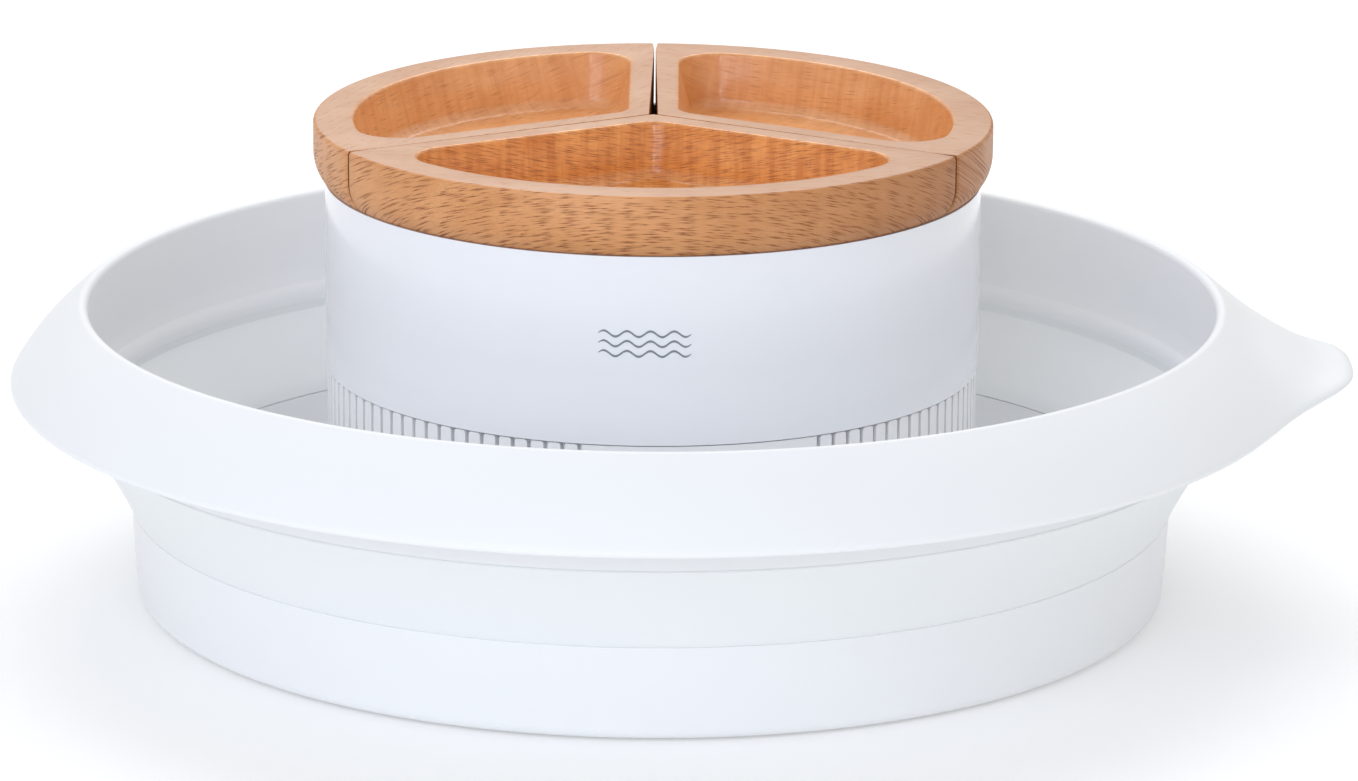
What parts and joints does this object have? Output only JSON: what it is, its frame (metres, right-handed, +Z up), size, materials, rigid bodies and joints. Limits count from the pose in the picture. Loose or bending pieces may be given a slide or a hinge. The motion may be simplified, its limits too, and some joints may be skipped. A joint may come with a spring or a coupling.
{
  "type": "flowing noodle maker",
  "caption": "Table-top flowing-noodle maker: folding bowl, strainer drum with a battery pump, wooden condiment trays on top.",
  "frame": {"origin": "underside of the middle foot pad, on the drum's axis, at table level", "axes": "+Z up along the drum's axis, -Y the front, +X towards the rim's lug"},
  "size_m": [0.3578, 0.3416, 0.1292],
  "materials": {
    "bowl_plastic": "fine satin, white",
    "bowl_silicone": "matte white silicone",
    "pad_rubber": "matte black rubber",
    "drum_plastic": "polished white",
    "inner_plastic": "light grey, as moulded",
    "screw_steel": "bright stainless",
    "motor_steel": "rolled, zinc plated",
    "magnet": "dark ferrite",
    "bronze": "satin",
    "copper_winding": "enamelled copper",
    "cell_wrap": "printed sleeve, plain",
    "switch_plastic": "black",
    "button_plastic": "matte grey",
    "wire_red": "PVC",
    "wire_orange": "PVC",
    "wire_black": "PVC",
    "beech": "oiled, satin, fine dark flecks"
  },
  "bodies": {
    "base": {"base_pan": "bowl_plastic", "foot_pads": "pad_rubber", "folding_wall": "bowl_silicone"},
    "rim": {"bowl_rim": "bowl_plastic"},
    "drum": {"drum_shell": "drum_plastic", "strainer": "drum_plastic", "strainer_screws": "screw_steel", "bulkhead": "inner_plastic", "bulkhead_seal": "pad_rubber", "top_cover": "inner_plastic", "cover_gasket": "pad_rubber", "cover_screws": "screw_steel", "motor_can": "motor_steel", "motor_magnets": "magnet", "motor_end_cap": "inner_plastic", "motor_bushes": "bronze", "motor_brushes": "bronze", "motor_terminals": "bronze", "motor_clamp": "screw_steel", "clamp_screws": "screw_steel", "shaft_seal": "pad_rubber", "shaft_bush": "bronze", "pump_housing": "inner_plastic", "pump_cover": "inner_plastic", "pump_screws": "screw_steel", "outlet_duct": "inner_plastic", "outlet_spout": "drum_plastic", "battery_cradle": "inner_plastic", "battery_left": "cell_wrap", "battery_right": "cell_wrap", "contact_springs": "screw_steel", "contact_plates": "bronze", "hinge_pin": "screw_steel", "switch_body": "switch_plastic", "button_boot": "pad_rubber", "wire_cell_to_switch": "wire_red", "wire_switch_to_motor": "wire_orange", "wire_cell_to_motor": "wire_black"},
    "rotor": {"motor_shaft": "screw_steel", "armature": "copper_winding", "commutator": "bronze", "impeller": "inner_plastic", "impeller_screw": "screw_steel"},
    "door": {"battery_door": "drum_plastic", "door_gasket": "pad_rubber", "door_strap": "bronze"},
    "button": {"power_button": "button_plastic"},
    "front_tray": {"tray_front": "beech"},
    "right_tray": {"tray_right": "beech"},
    "left_tray": {"tray_left": "beech"}
  },
  "joints": [
    {"name": "rim_fold", "type": "slide", "parent": "base", "child": "rim", "axis": [0, 0, -1], "range_m": [0, 0.047], "deforming": ["folding_wall"]},
    {"name": "drum_lift", "type": "slide", "parent": "base", "child": "drum", "axis": [0, 0, 1], "range_m": [0, 0.12]},
    {"name": "rotor_spin", "type": "hinge", "parent": "drum", "child": "rotor", "pos_m": [0, 0, 0.08], "axis": [0, 0, 1], "continuous": true},
    {"name": "door_hinge", "type": "hinge", "parent": "drum", "child": "door", "pos_m": [0, 0.0894, 0.0654], "axis": [-1, 0, 0], "range_deg": [0, 100]},
    {"name": "button_press", "type": "slide", "parent": "drum", "child": "button", "axis": [-0.6691, -0.7431, 0], "range_m": [0, 0.0014], "stiffness_N_per_m": 400},
    {"name": "front_tray_lift", "type": "slide", "parent": "drum", "child": "front_tray", "axis": [0, 0, 1], "range_m": [0, 0.06]},
    {"name": "right_tray_lift", "type": "slide", "parent": "drum", "child": "right_tray", "axis": [0, 0, 1], "range_m": [0, 0.06]},
    {"name": "left_tray_lift", "type": "slide", "parent": "drum", "child": "left_tray", "axis": [0, 0, 1], "range_m": [0, 0.06]}
  ]
}
